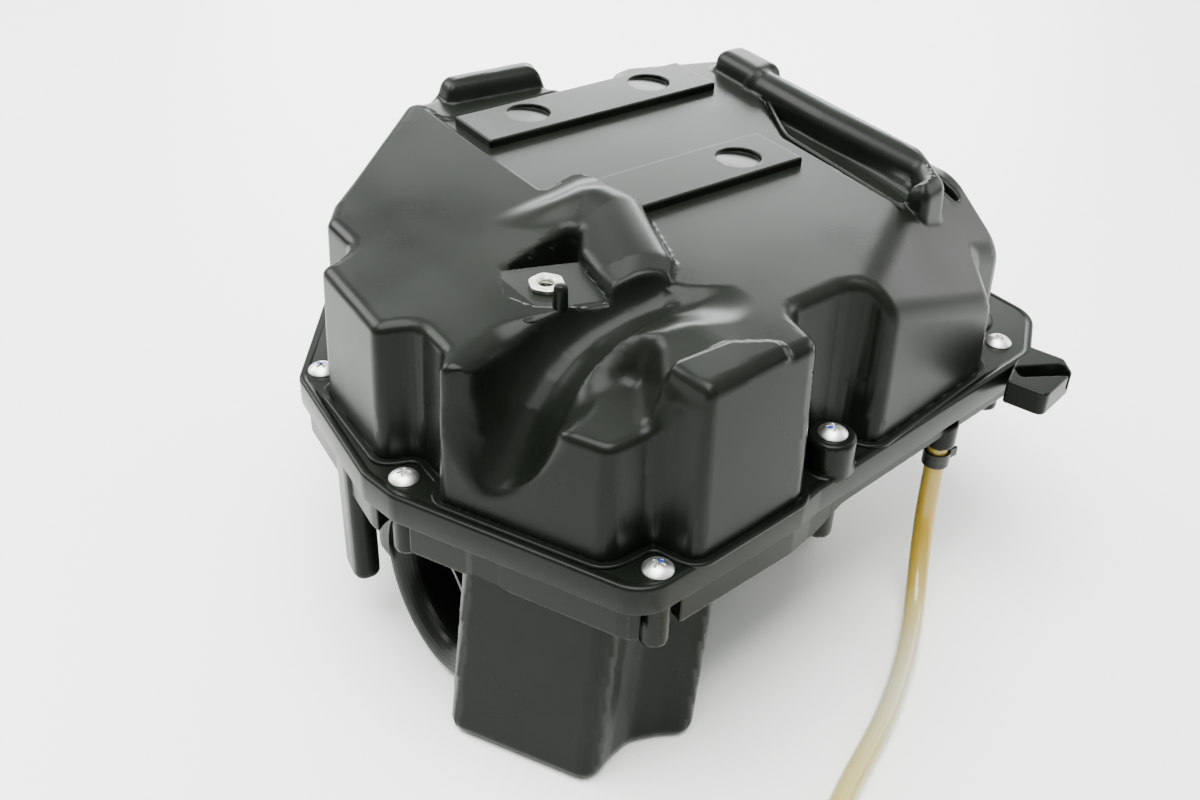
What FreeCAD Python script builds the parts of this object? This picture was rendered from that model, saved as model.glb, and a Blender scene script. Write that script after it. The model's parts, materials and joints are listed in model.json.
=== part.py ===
import FreeCAD, Part
import math
import os

# Motorcycle airbox: a two-piece moulded housing with a panel filter, intake duct,
# two outlets to the carburettors and a drain hose.  Millimetres, +Z up.
# It is laid out with z = 0 on top of the cover's flange and x = y = 0 at the front
# screw, and moved at the end so that the origin is the middle of the underside.

V = FreeCAD.Vector
UP = V(0, 0, 1)

# ---- driving dimensions -------------------------------------------------------
WALL = 2.6                 # moulded wall
DRAFT = 2.0                # how far the cover's walls lean in from flange to top
LIP = 6.0                  # depth of the cover's flange
BAND = 12.0                # depth of the case's flange band
CASE_TOP = -LIP - 0.3      # the parting gap
BAND_BOTTOM = -LIP - BAND
FLOOR = -90.0              # underside of the front box and of the outlet boots
PAN_FLOOR = -40.0          # underside of the clean side
DIRTY_FLOOR = -84.0        # underside of the dirty side
TRAY_TOP = -13.0           # the shelf that the filter frame sits on
DECK = 62.0                # top plateau of the cover
FACET_LOW = 50.0           # height of the sloping left facet at its outer edge
FACET_EDGE_X = -44.0
FACET_SLOPE = 0.17
SHELF_TOP = 40.0

SCREW_HEAD_R = 5.5
SCREW_HEAD_H = 2.8
SCREW_R = 2.5
SCREW_LENGTH = 18.0
BOSS_R = 6.0
BOSS_BOTTOM = -23.0
INSERT_R = 3.6
INSERT_LENGTH = 9.0
GROOVE_DEPTH = 1.4
HIGH_BOSS_TOP = 13.0       # one screw sits on a raised boss
SCREWS = [(0, 0), (-43.6, 82.3), (-38, 155), (81, 10), (191, 30),
          (210.3, 112), (193, 203), (120, 230.6), (8, 214)]
HIGH_SCREW = 3

OUTLETS = {"left": (124.0, 84.0), "right": (124.0, 168.0)}
OUTLET_BORE = 20.0         # of the rubber boots
SPIGOT_BORE = 18.5
SPIGOT_R = 22.0
SPIGOT_BOTTOM = -56.0
BOOT_R = 26.0
CLAMP_WIDTH = 9.0
CLAMP_BOTTOM = -56.0
CLAMP_R = 27.4

INTAKE = V(-37, 81, -55)   # centre of the bell mouth's rim
INTAKE_BORE = 22.0
INTAKE_RIM_R = 31.0
INTAKE_WALL = 2.0
INTAKE_LENGTH = 23.0

FILTER_MID = (17.0, 105.0)
FILTER_SIZE = (78.0, 100.0)
FRAME_RIM = 8.0
FRAME_THICK = 4.0
PLEAT_PITCH = 5.3
PLEAT_DEPTH = 24.0
PAPER = 1.2

HOSE_R = 4.0
HOSE_BORE = 2.6
SPIGOT_AT = (150.6, 17.7)
HOSE_ROUTE = [(150.6, 17.7, -25), (150.2, 17.2, -46), (145, 12, -67), (134, 1, -82.5),
              (117, -13, -86), (97, -26.5, -86), (76, -38, -86), (54, -47.5, -86),
              (33, -58, -86), (16, -73, -86), (6, -92, -86)]

# ---- outlines: (x, y, corner radius), anticlockwise -----------------------------
FLANGE = [(-10.8, -8, 15), (60, -1.3, 10), (70, 1.2, 10), (196, 17.5, 14), (220, 36, 16),
          (217, 180, 25), (188, 226, 25), (110, 240, 30), (14, 240, 14), (-47.5, 155.5, 10),
          (-54.5, 92, 14), (-52, 76.5, 14)]
WALLS = [(-13, 9.5, 8), (5.5, 10, 6), (11, -5.3, 6), (62.5, 0.3, 6), (66, 20, 7), (96, 21, 9),
         (100.5, 7.8, 5), (170, 20, 8), (180, 39, 7), (203, 43, 10), (203, 176, 20),
         (178, 210, 20), (104, 224, 14), (42, 230, 12), (-19, 178, 6), (-27.5, 167, 6),
         (-28, 146, 7), (-43, 141, 6), (-46.2, 94, 5), (-33.5, 89, 6), (-34, 73, 6),
         (-40.5, 65, 5)]
FRONT_BOX = [(-21, 4, 8), (-12, 4, 6), (-8, 9, 5), (9, 9, 5), (24, 1, 6), (30, 20, 8),
             (22, 56, 8), (-46, 52, 6)]
DIRTY_SIDE = [(-28, 50, 8), (60, 46, 10), (62, 166, 12), (-12, 166, 10), (-28, 140, 10)]
PAN = [(-4, 12, 8), (28, 12, 6), (62, 34, 10), (180, 48, 16), (204, 66, 16), (203, 174, 20),
       (175, 217, 20), (106, 228, 14), (20, 228, 14), (-18, 178, 8), (-18, 60, 8)]


# ---- helpers ---------------------------------------------------------------------
def line_meet(p, d, q, e):
    """Where the line through p along d meets the line through q along e."""
    t = ((q[0] - p[0]) * e[1] - (q[1] - p[1]) * e[0]) / (d[0] * e[1] - d[1] * e[0])
    return (p[0] + d[0] * t, p[1] + d[1] * t)


def unit(p, q):
    length = math.hypot(q[0] - p[0], q[1] - p[1])
    return ((q[0] - p[0]) / length, (q[1] - p[1]) / length)


def inset(corners, amount):
    """The outline moved inwards, with its corner radii kept parallel where they can be."""
    result = []
    count = len(corners)
    for i in range(count):
        before, here, after = corners[i - 1], corners[i], corners[(i + 1) % count]
        d, e = unit(before, here), unit(here, after)
        p = (here[0] - d[1] * amount, here[1] + d[0] * amount)
        q = (here[0] - e[1] * amount, here[1] + e[0] * amount)
        turn = d[0] * e[1] - d[1] * e[0]
        x, y = line_meet(p, d, q, e)
        radius = here[2] - amount if turn > 0 else here[2] + amount
        result.append((x, y, max(radius, 1.0)))
    return result


def ring(corners, z):
    """A closed wire through rounded corners at height z."""
    count = len(corners)
    arcs = []
    for i in range(count):
        before, here, after = corners[i - 1], corners[i], corners[(i + 1) % count]
        d, e = unit(before, here), unit(here, after)
        turn = math.atan2(d[0] * e[1] - d[1] * e[0], d[0] * e[0] + d[1] * e[1])
        back = here[2] * math.tan(abs(turn) / 2)
        start = V(here[0] - d[0] * back, here[1] - d[1] * back, z)
        end = V(here[0] + e[0] * back, here[1] + e[1] * back, z)
        bulge = here[2] * (1 / math.cos(turn / 2) - 1)
        inward = V(e[0] - d[0], e[1] - d[1], 0).normalize()
        middle = V(here[0], here[1], z) + inward * bulge
        arcs.append((start, middle, end))
    edges = []
    for i, (start, middle, end) in enumerate(arcs):
        edges.append(Part.Arc(start, middle, end).toShape())
        edges.append(Part.LineSegment(end, arcs[(i + 1) % count][0]).toShape())
    return Part.Wire(edges)


def prism(corners, z0, z1, lean=0.0):
    """A rounded prism that leans in by lean between z0 and z1."""
    if lean == 0.0:
        return Part.Face(ring(corners, z0)).extrude(V(0, 0, z1 - z0))
    return Part.makeLoft([ring(corners, z0), ring(inset(corners, lean), z1)], True, True)


def plane_cut(shape, points, drop):
    """Removes what lies above the plane through three points, lowered by drop."""
    a, b, c = (V(*p) for p in points)
    normal = (b - a).cross(c - a).normalize()
    slab = Part.makeBox(900, 900, 300, V(-450, -450, 0))
    slab.Placement = FreeCAD.Placement(a - normal * drop, FreeCAD.Rotation(UP, normal))
    return shape.cut(slab)


def cylinder(x, y, z0, z1, radius):
    return Part.makeCylinder(radius, z1 - z0, V(x, y, z0))


def tube(x, y, z0, z1, outer, inner):
    return cylinder(x, y, z0, z1, outer).cut(cylinder(x, y, z0, z1, inner))


def box(x0, x1, y0, y1, z0, z1):
    return Part.makeBox(x1 - x0, y1 - y0, z1 - z0, V(x0, y0, z0))


def united(shapes):
    shapes = list(shapes)
    return shapes[0].multiFuse(shapes[1:]).removeSplitter()


def facet_height(x):
    return FACET_LOW + FACET_SLOPE * (x - FACET_EDGE_X)


# ---- cover -------------------------------------------------------------------------
HOOD = [(-70, 66, 4), (-36, 62, 4), (30, 40, 10), (50, 62, 12), (65, 100, 14), (60, 132, 8),
        (41, 128, 3), (43, 250, 3), (-70, 250, 4)]
REAR_HUMP = [(50, 214, 5), (96, 214, 5), (99, 230, 4), (48, 231, 4)]
CORNER_HUMP = [(168, 158, 5), (186, 164, 5), (186, 190, 5), (170, 190, 5)]
RIDGE = [(141, 52, 3), (150, 45, 4), (166, 54, 8), (176, 75, 10), (176, 172, 1),
         (168, 168, 1), (141, 118, 3)]
RIDGE_POCKET = [(147, 52, 3), (156, 54, 5), (161, 80, 6), (162, 140, 2), (147, 117, 2)]
OUTER_RIDGE = [(187, 58, 5), (198, 62, 5), (199, 140, 5), (190, 140, 4)]
POCKET = [(2, 62, 4), (22, 58, 4), (29, 82, 4), (38, 105, 2), (2, 88, 3)]
PADS = [[(46, 171, 1), (156, 171, 1), (156, 198, 1), (46, 198, 1)],
        [(60, 97, 1), (137, 97, 1), (137, 124, 1), (60, 124, 1)]]
PAD_RISE = 3.0
PAD_DISHES = [(73, 186), (133, 186), (118, 110)]
POCKET_FLOOR = 57.0
RIDGE_TOP = 70.0
OUTER_RIDGE_TOP = 58.0
HUMP_TOP = 71.0
NUT_AT = (12.0, 81.0)
PIN_AT = (8.0, 67.0)
TAB = [(173, 10, 1), (178, -5, 3), (199, 0, 3), (204, 8, 3), (199, 24, 1)]
TAB_SLOTS = [[(177, 14.5, 1), (181.5, -9, 1), (189, -7, 1), (187, 14, 1)],
             [(190, 14, 1), (192, -7, 1), (204, -4, 1), (199.5, 10, 1), (197, 17, 1)]]
RIGHT_SLOPE = [(113, 27, 61), (170, 20, 29), (200, 75, 54)]
# the valley below the pocket: the lowest line and the radius of the channel
VALLEY = [(-54, 46, -1, 19.5), (3, 47.7, 42, 16.2), (44, 51, 57.5, 11)]


def facet_points():
    return [(0, 0, facet_height(0)), (100, 0, facet_height(100)), (0, 100, facet_height(0))]


def cover_body(gap):
    """The cover's envelope; gap = 0 is the outside and gap = WALL the inside."""
    shell = prism(inset(WALLS, gap), -LIP if gap else 0.0, 90, DRAFT)
    facet = plane_cut(shell, facet_points(), gap)
    deck = facet.cut(box(-300, 300, -300, 400, DECK - gap, 200))
    hood = facet.common(prism(inset(HOOD, gap), -LIP, 100))
    parts = [deck, hood]
    for corners, top in ((REAR_HUMP, HUMP_TOP), (CORNER_HUMP, HUMP_TOP), (RIDGE, RIDGE_TOP)):
        parts.append(shell.common(prism(inset(corners, gap), 30, top - gap)))
    body = united(parts)
    body = plane_cut(body, RIGHT_SLOPE, gap)
    body = body.fuse(prism(inset(OUTER_RIDGE, gap), 20, OUTER_RIDGE_TOP - gap))
    for hollow in cover_hollows(gap):
        body = body.cut(hollow)
    return body


def channel(low_line, gap):
    """What a ball clears when it rolls along the low line, open to above."""
    swept = []
    centres = [V(x, y, z + 1.15 * r) for x, y, z, r in low_line]
    for i in range(len(low_line) - 1):
        start, narrow = centres[i], low_line[i][3] + gap
        along = centres[i + 1] - start
        radius = low_line[i + 1][3] + gap
        side = UP.cross(along).normalize()
        swept.append(Part.makeCone(narrow, radius, along.Length, start, along))
        low, high = narrow - 0.4, radius - 0.4
        end = centres[i + 1] - along.normalize() * 0.5
        outline = [start - side * low, start + side * low, end + side * high, end - side * high]
        outline.append(outline[0])
        swept.append(Part.Face(Part.makePolygon(outline)).extrude(V(0, 0, 100)))
    return swept


def cover_hollows(gap):
    """What is scooped out of the envelope from above, grown by the wall for the inside."""
    shelf = prism(inset([(-60, 8, 4), (-6, -20, 4), (9, -20, 3), (12, 24, 4), (20, 38, 5),
                         (-40, 40, 4)], -gap), SHELF_TOP - gap, 100)
    pocket = prism(inset(POCKET, -gap), POCKET_FLOOR - gap, 100)
    lane = prism(inset(RIDGE_POCKET, -gap), DECK - 2 - gap, 100)
    return channel(VALLEY, gap) + [shelf, pocket, lane]


def make_upper_cover():
    shell = cover_body(0.0).cut(cover_body(WALL))
    flange = prism(FLANGE, -LIP, 0)
    flange = flange.cut(prism(inset(WALLS, WALL), -LIP - 1, 1))
    rib = prism(inset(WALLS, -1.6), 0, 1.0).cut(prism(inset(WALLS, 0.5), -1, 2))
    tab = prism(TAB, -10, 0).cut(prism(inset(FLANGE, -0.3), -20, -LIP))
    for slot in TAB_SLOTS:
        tab = tab.cut(prism(slot, -7, 1))
    pads = [prism(pad, DECK - 1, DECK + PAD_RISE) for pad in PADS]
    x, y = SCREWS[HIGH_SCREW]
    boss = cylinder(x, y, -1, HIGH_BOSS_TOP, 8.5)
    cover = united([flange, shell, rib, tab, boss] + pads)
    for x, y in PAD_DISHES:
        dish = cylinder(x, y, DECK + PAD_RISE - 1.6, DECK + 9, 8.5)
        cover = cover.cut(dish)
    for index, (x, y) in enumerate(SCREWS):
        cover = cover.cut(cylinder(x, y, -LIP - 1, 20, SCREW_R + 0.3))
    x, y = NUT_AT
    cover = cover.cut(cylinder(x, y, POCKET_FLOOR - 6, POCKET_FLOOR + 8, 3.4))
    x, y = PIN_AT
    cover = cover.cut(cylinder(x, y, POCKET_FLOOR - 6, POCKET_FLOOR + 8, 2.0))
    return cover


def hexagon(x, y, z, across):
    points = []
    for i in range(7):
        angle = math.radians(60 * i + 10)
        reach = across / math.sqrt(3)
        points.append(V(x + reach * math.cos(angle), y + reach * math.sin(angle), z))
    return Part.Face(Part.makePolygon(points))


def make_bracket_nut():
    x, y = NUT_AT
    head = hexagon(x, y, POCKET_FLOOR, 11.0).extrude(V(0, 0, 3.0))
    stem = cylinder(x, y, POCKET_FLOOR - 6, POCKET_FLOOR + 0.1, 3.4)
    return head.fuse(stem).cut(cylinder(x, y, POCKET_FLOOR - 9, POCKET_FLOOR + 9, 2.5))


def make_locating_pin():
    x, y = PIN_AT
    stem = cylinder(x, y, POCKET_FLOOR - 5, POCKET_FLOOR + 0.1, 2.0)
    body = cylinder(x, y, POCKET_FLOOR, POCKET_FLOOR + 8, 3.0)
    nose = Part.makeCone(3.0, 2.0, 2.0, V(x, y, POCKET_FLOOR + 8))
    return united([stem, body, nose])


def screw_seat(index):
    return HIGH_BOSS_TOP if index == HIGH_SCREW else 0.0


def make_screw(x, y, seat, bottom):
    """Pan-head screw: a domed head with a cross recess on a plain shank."""
    dome_r = (SCREW_HEAD_R ** 2 + SCREW_HEAD_H ** 2) / (2 * SCREW_HEAD_H)
    dome = Part.makeSphere(dome_r, V(x, y, seat + SCREW_HEAD_H - dome_r))
    head = dome.common(cylinder(x, y, seat, seat + SCREW_HEAD_H, SCREW_HEAD_R))
    for turn in (0, 90):
        slot = box(x - 2.9, x + 2.9, y - 0.55, y + 0.55, seat + 1.0, seat + 5)
        slot.rotate(V(x, y, 0), UP, turn)
        head = head.cut(slot)
    shank = cylinder(x, y, bottom, seat + 0.5, SCREW_R)
    return head.fuse(shank)


def make_cover_screws():
    screws = []
    for index, (x, y) in enumerate(SCREWS):
        screws.append(make_screw(x, y, screw_seat(index), -SCREW_LENGTH))
    return Part.Compound(screws)


# ---- seals and inserts ----------------------------------------------------------------
def gasket_ring(bottom, top):
    """The cord of rubber that runs under the cover's wall, inside the screws."""
    outer = prism(inset(WALLS, 0.3), bottom, top)
    return outer.cut(prism(inset(WALLS, 2.3), bottom - 1, top + 1))


def make_cover_gasket():
    return gasket_ring(CASE_TOP - GROOVE_DEPTH, -LIP - 0.1)


def make_case_inserts():
    sleeves = []
    for x, y in SCREWS:
        sleeves.append(tube(x, y, CASE_TOP - 3 - INSERT_LENGTH, CASE_TOP - 3, INSERT_R,
                            SCREW_R + 0.05))
    return Part.Compound(sleeves)


# ---- lower case --------------------------------------------------------------------------
def make_lower_case():
    band = prism(inset(FLANGE, 0.6), BAND_BOTTOM, CASE_TOP)
    pan = prism(PAN, BAND_BOTTOM, PAN_FLOOR, 3.0)
    dirty = prism(DIRTY_SIDE, BAND_BOTTOM, DIRTY_FLOOR, 3.0)
    front = prism(FRONT_BOX, BAND_BOTTOM, FLOOR, 1.5)
    solids = [band, pan, dirty, front, make_leg(), make_rear_ear(), make_drain_spigot()]
    for x, y in SCREWS:
        solids.append(cylinder(x, y, BOSS_BOTTOM, CASE_TOP, BOSS_R))
    for x, y in OUTLETS.values():
        solids.append(cylinder(x, y, SPIGOT_BOTTOM, PAN_FLOOR + 1, SPIGOT_R))
    for x, y in funnel_screw_places():
        solids.append(cylinder(x, y, PAN_FLOOR - 6.5, PAN_FLOOR + 1, 3.6))
    case = united(solids)
    case = case.cut(case_hollow())
    for cutter in case_bores():
        case = case.cut(cutter)
    return case


def case_hollow():
    """The clean side above the filter tray, and the dirty side below it."""
    mouth = prism(inset(WALLS, 4.0), TRAY_TOP, CASE_TOP + 5)
    neck = prism(inset(PAN, WALL), TRAY_TOP + 1, BAND_BOTTOM)
    pan = prism(inset(PAN, WALL), BAND_BOTTOM, PAN_FLOOR + WALL, 3.0)
    tray = united([prism(DIRTY_SIDE, -60, TRAY_TOP), prism(FRONT_BOX, -60, TRAY_TOP)])
    clean = neck.fuse(pan).cut(tray).fuse(mouth)
    roof = TRAY_TOP - 3.0
    lower = prism(inset(DIRTY_SIDE, WALL), roof, DIRTY_FLOOR + WALL, 3.0)
    front = prism(inset(FRONT_BOX, WALL), roof, FLOOR + WALL, 1.5)
    width, depth = FILTER_SIZE
    x, y = FILTER_MID
    half_w, half_d = width / 2 - FRAME_RIM, depth / 2 - FRAME_RIM
    opening = box(x - half_w, x + half_w, y - half_d, y + half_d, roof - 1, TRAY_TOP + 1)
    return united([clean, lower, front, opening])


def case_bores():
    mouth = V(-60, INTAKE.y, INTAKE.z)
    cutters = [Part.makeCylinder(INTAKE_BORE + INTAKE_WALL, 40, mouth, V(1, 0, 0))]
    for x, y in SCREWS:
        cutters.append(cylinder(x, y, BOSS_BOTTOM + 1.5, CASE_TOP + 1, SCREW_R + 0.2))
        cutters.append(cylinder(x, y, CASE_TOP - 3 - INSERT_LENGTH, CASE_TOP - 3, INSERT_R))
    for x, y in OUTLETS.values():
        cutters.append(cylinder(x, y, SPIGOT_BOTTOM - 1, PAN_FLOOR + 8, SPIGOT_BORE))
    cutters.append(gasket_ring(CASE_TOP - GROOVE_DEPTH, CASE_TOP + 1))
    cutters.append(cylinder(*SPIGOT_AT, -50, TRAY_TOP + 2, 1.6))
    cutters.append(cylinder(*EAR_AT, -60, 0, GROMMET_NECK_R))
    for x, y in funnel_screw_places():
        cutters.append(cylinder(x, y, PAN_FLOOR - 5, PAN_FLOOR + 8, 1.6))
    return cutters


def make_leg():
    """A rib-like post at the left rear corner of the dirty side."""
    return prism([(-52, 110, 4), (-42, 109, 4), (-38, 126, 4), (-49, 126, 4)], -66, CASE_TOP)


EAR_AT = (150.0, 247.0)
GROMMET_NECK_R = 9.2


def make_rear_ear():
    x, y = EAR_AT
    return prism([(x - 15, y - 26, 2), (x + 15, y - 30, 2), (x + 13, y + 12, 9),
                  (x - 13, y + 12, 9)], BAND_BOTTOM, BAND_BOTTOM + 7)


def make_drain_spigot():
    x, y = SPIGOT_AT
    return united([cylinder(x, y, -24.8, -14, 6.0), cylinder(x, y, -36, -23, HOSE_BORE)])


# ---- intake duct ----------------------------------------------------------------------------
def spun(profile, base, axis):
    """A solid of revolution from (radius, distance along the axis) pairs."""
    points = [V(r, 0, z) for r, z in profile]
    face = Part.Face(Part.makePolygon(points + [points[0]]))
    solid = face.revolve(V(0, 0, 0), UP, 360)
    solid.Placement = FreeCAD.Placement(base, FreeCAD.Rotation(UP, axis))
    return solid


def bell(bore, rim, length, thick, flare):
    """A thin trumpet: an outward-rolled mouth at 0, then a plain tube."""
    inner, outer = [], []
    steps = 8
    for i in range(steps + 1):
        angle = math.pi / 2 * i / steps
        radius = bore + (rim - bore) * (1 - math.sin(angle))
        along = flare * (1 - math.cos(angle))
        inner.append((radius, along))
        outer.append((radius + thick * math.sin(angle) + 0.01, along + thick * math.cos(angle)))
    inner.append((bore, length))
    outer.append((bore + thick, length))
    return inner + outer[::-1]


def make_intake_duct():
    trumpet = spun(bell(INTAKE_BORE, INTAKE_RIM_R, INTAKE_LENGTH, INTAKE_WALL, 8.0), INTAKE,
                   V(1, 0, 0))
    return trumpet


# ---- filter element -----------------------------------------------------------------------------
def filter_rect(shrink):
    x, y = FILTER_MID
    w, d = FILTER_SIZE[0] / 2 - shrink, FILTER_SIZE[1] / 2 - shrink
    return [(x - w, y - d, 6), (x + w, y - d, 6), (x + w, y + d, 6), (x - w, y + d, 6)]


def make_filter_seal():
    seal = prism(filter_rect(1.0), TRAY_TOP, TRAY_TOP + 2)
    return seal.cut(prism(inset(filter_rect(1.0), 5.0), -30, 10))


def make_filter_frame():
    frame = prism(filter_rect(0), TRAY_TOP + 2, TRAY_TOP + 2 + FRAME_THICK)
    frame = frame.cut(prism(inset(filter_rect(0), FRAME_RIM + 2.0), -30, 10))
    skirt = prism(inset(filter_rect(0), FRAME_RIM + 0.6), TRAY_TOP - 6, TRAY_TOP + 3)
    skirt = skirt.cut(prism(inset(filter_rect(0), FRAME_RIM + 2.0), -30, 10))
    return frame.fuse(skirt)


def make_filter_media():
    """Pleated paper: one folded sheet across the frame's width."""
    x, y = FILTER_MID
    half_w = FILTER_SIZE[0] / 2 - FRAME_RIM - 2.3
    half_d = FILTER_SIZE[1] / 2 - FRAME_RIM - 2.3
    count = int(2 * half_d / PLEAT_PITCH)
    pitch = 2 * half_d / count
    high, low = TRAY_TOP + 3, TRAY_TOP + 3 - PLEAT_DEPTH
    top, bottom = [], []
    for i in range(2 * count + 1):
        level = high if i % 2 == 0 else low + PAPER * 3
        top.append(V(x - half_w, y - half_d + pitch * i / 2, level))
        bottom.append(V(x - half_w, y - half_d + pitch * i / 2, level - PAPER * 3))
    outline = top + bottom[::-1]
    sheet = Part.Face(Part.makePolygon(outline + [outline[0]]))
    return sheet.extrude(V(2 * half_w, 0, 0))


def make_filter_screen():
    """Flame-trap mesh under the pleats, as crossed flat bars."""
    x, y = FILTER_MID
    half_w = FILTER_SIZE[0] / 2 - FRAME_RIM - 2.3
    half_d = FILTER_SIZE[1] / 2 - FRAME_RIM - 2.3
    top = TRAY_TOP + 5.6
    bars = [box(x - half_w, x + half_w, y - half_d, y + half_d, top - 1.2, top)]
    cells_x, cells_y = 6, 8
    step_x, step_y = 2 * half_w / cells_x, 2 * half_d / cells_y
    holes = []
    for i in range(cells_x):
        for j in range(cells_y):
            left, front = x - half_w + i * step_x + 0.6, y - half_d + j * step_y + 0.6
            holes.append(box(left, left + step_x - 1.2, front, front + step_y - 1.2,
                             top - 2, top + 1))
    return bars[0].cut(Part.Compound(holes))


# ---- outlets ---------------------------------------------------------------------------------------
FUNNEL_WALL = 2.2
FUNNEL_SCREW_REACH = 33.0
FUNNEL_PLATE = 3.0


def funnel_screw_places():
    places = []
    for x, y in OUTLETS.values():
        places.append((x - FUNNEL_SCREW_REACH, y))
        places.append((x + FUNNEL_SCREW_REACH, y))
    return places


def make_outlet_funnel(side):
    """A velocity stack that stands in the outlet bore, with a two-eared foot."""
    x, y = OUTLETS[side]
    floor = PAN_FLOOR + WALL
    trumpet = spun(bell(SPIGOT_BORE - FUNNEL_WALL - 0.2, 27.0, 34.0, FUNNEL_WALL, 10.0),
                   V(x, y, PAN_FLOOR + 26), V(0, 0, -1))
    reach = FUNNEL_SCREW_REACH + 4.5
    foot = prism([(x - 6, y - 25, 8), (x + 6, y - 25, 8), (x + reach, y - 9, 4),
                  (x + reach, y + 9, 4), (x + 6, y + 25, 8), (x - 6, y + 25, 8),
                  (x - reach, y + 9, 4), (x - reach, y - 9, 4)], floor, floor + FUNNEL_PLATE)
    foot = foot.cut(cylinder(x, y, floor - 1, floor + 9, SPIGOT_BORE - 1))
    for shift in (-FUNNEL_SCREW_REACH, FUNNEL_SCREW_REACH):
        foot = foot.cut(cylinder(x + shift, y, floor - 1, floor + 9, 1.9))
    return foot.fuse(trumpet)


def make_funnel_screws():
    screws = []
    seat = PAN_FLOOR + WALL + FUNNEL_PLATE
    for x, y in funnel_screw_places():
        head = cylinder(x, y, seat, seat + 2.2, 3.6)
        slot = box(x - 2.2, x + 2.2, y - 0.5, y + 0.5, seat + 1.2, seat + 4)
        screws.append(head.cut(slot).fuse(cylinder(x, y, seat - 9.5, seat + 0.5, 1.6)))
    return Part.Compound(screws)


def make_outlet_boot(side):
    x, y = OUTLETS[side]
    profile = [(OUTLET_BORE, FLOOR), (BOOT_R + 1.5, FLOOR), (BOOT_R + 1.5, FLOOR + 4),
               (BOOT_R - 1, FLOOR + 8), (BOOT_R - 1, FLOOR + 20), (BOOT_R + 1, FLOOR + 23),
               (BOOT_R + 1, FLOOR + 25), (BOOT_R, FLOOR + 27), (BOOT_R, PAN_FLOOR - 0.6),
               (SPIGOT_R, PAN_FLOOR - 0.6), (SPIGOT_R, SPIGOT_BOTTOM),
               (OUTLET_BORE, SPIGOT_BOTTOM)]
    return spun(profile, V(x, y, 0), UP)


def make_boot_clamp(side):
    x, y = OUTLETS[side]
    low, high = CLAMP_BOTTOM, CLAMP_BOTTOM + CLAMP_WIDTH
    band = tube(x, y, low, high, CLAMP_R - 0.2, BOOT_R)
    ears = box(x + BOOT_R - 0.5, x + BOOT_R + 9, y - 4.5, y + 4.5, low, high)
    gap = box(x + BOOT_R - 3, x + BOOT_R + 12, y - 2.8, y + 2.8, low - 1, high + 1)
    ears = ears.cut(cylinder(x, y, low - 1, high + 1, BOOT_R))
    clamp = band.fuse(ears).cut(gap)
    bore = Part.makeCylinder(2.1, 20, V(x + BOOT_R + 5, y - 10, low + CLAMP_WIDTH / 2),
                             V(0, 1, 0))
    return clamp.cut(bore)


def make_clamp_screw(side):
    x, y = OUTLETS[side]
    middle = CLAMP_BOTTOM + CLAMP_WIDTH / 2
    at = V(x + BOOT_R + 5, y - 4.5, middle)
    head = Part.makeCylinder(3.6, 3.0, at - V(0, 3.0, 0), V(0, 1, 0))
    slot = box(at.x - 4, at.x + 4, at.y - 4, at.y - 2, middle - 0.5, middle + 0.5)
    shank = Part.makeCylinder(2.0, 14.0, at - V(0, 0.2, 0), V(0, 1, 0))
    return head.cut(slot).fuse(shank)


# ---- mount, drain hose ---------------------------------------------------------------------------------
def make_mount_grommet():
    x, y = EAR_AT
    low, high = BAND_BOTTOM - 3, BAND_BOTTOM + 10
    profile = [(5.0, low), (12.5, low), (12.5, BAND_BOTTOM), (9.2, BAND_BOTTOM),
               (9.2, BAND_BOTTOM + 7), (12.5, BAND_BOTTOM + 7), (12.5, high), (5.0, high)]
    return spun(profile, V(x, y, 0), UP)


def make_mount_collar():
    x, y = EAR_AT
    return tube(x, y, BAND_BOTTOM - 3.5, BAND_BOTTOM + 10.5, 5.0, 3.3)


def route_wire(points):
    """Straight runs joined by the largest tangent arcs that their lengths allow."""
    points = [V(*p) for p in points]
    edges, radii = [], []
    last = points[0]
    for i in range(1, len(points) - 1):
        before, here, after = points[i - 1], points[i], points[i + 1]
        d, e = (here - before).normalize(), (after - here).normalize()
        half = d.getAngle(e) / 2
        reach = 0.45 * min((here - before).Length, (after - here).Length)
        start, end = here - d * reach, here + e * reach
        radius = reach / math.tan(half)
        radii.append(radius)
        inward = (e - d).normalize()
        middle = here + inward * (radius / math.cos(half) - radius)
        edges.append(Part.LineSegment(last, start).toShape())
        edges.append(Part.Arc(start, middle, end).toShape())
        last = end
    edges.append(Part.LineSegment(last, points[-1]).toShape())
    return Part.Wire(edges), radii


def make_drain_hose():
    wire, radii = route_wire(HOSE_ROUTE)
    start = V(*HOSE_ROUTE[0])
    along = V(*HOSE_ROUTE[1]) - start
    circle = Part.Wire(Part.makeCircle(HOSE_R, start, along))
    hose = wire.makePipeShell([circle], True, False)
    print("hose length", round(wire.Length, 1), "radii", [round(r) for r in radii])
    print("hose volume over section times length",
          round(hose.Volume / (math.pi * HOSE_R ** 2 * wire.Length), 4))
    return hose.cut(cylinder(*SPIGOT_AT, -36, -20, HOSE_BORE))


def make_drain_plug():
    """Rubber cap on the hose's free end, with a finger rim."""
    end, before = V(*HOSE_ROUTE[-1]), V(*HOSE_ROUTE[-2])
    along = (end - before).normalize()
    profile = [(0.01, 0), (HOSE_R, 0), (HOSE_R, 12.0), (2.8, 14.5), (0.01, 14.5)]
    return spun(profile, end, along)


def make_hose_clip():
    """Spring band round the hose where it grips the nipple, with two pinch tabs."""
    x, y = SPIGOT_AT
    band = tube(x, y, -34, -28, HOSE_R + 1.2, HOSE_R + 0.4)
    tabs = [box(x + HOSE_R + 0.5, x + HOSE_R + 5, y + shift, y + shift + 1.0, -33, -29)
            for shift in (-2.5, 1.5)]
    return united([band] + tabs)


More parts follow.
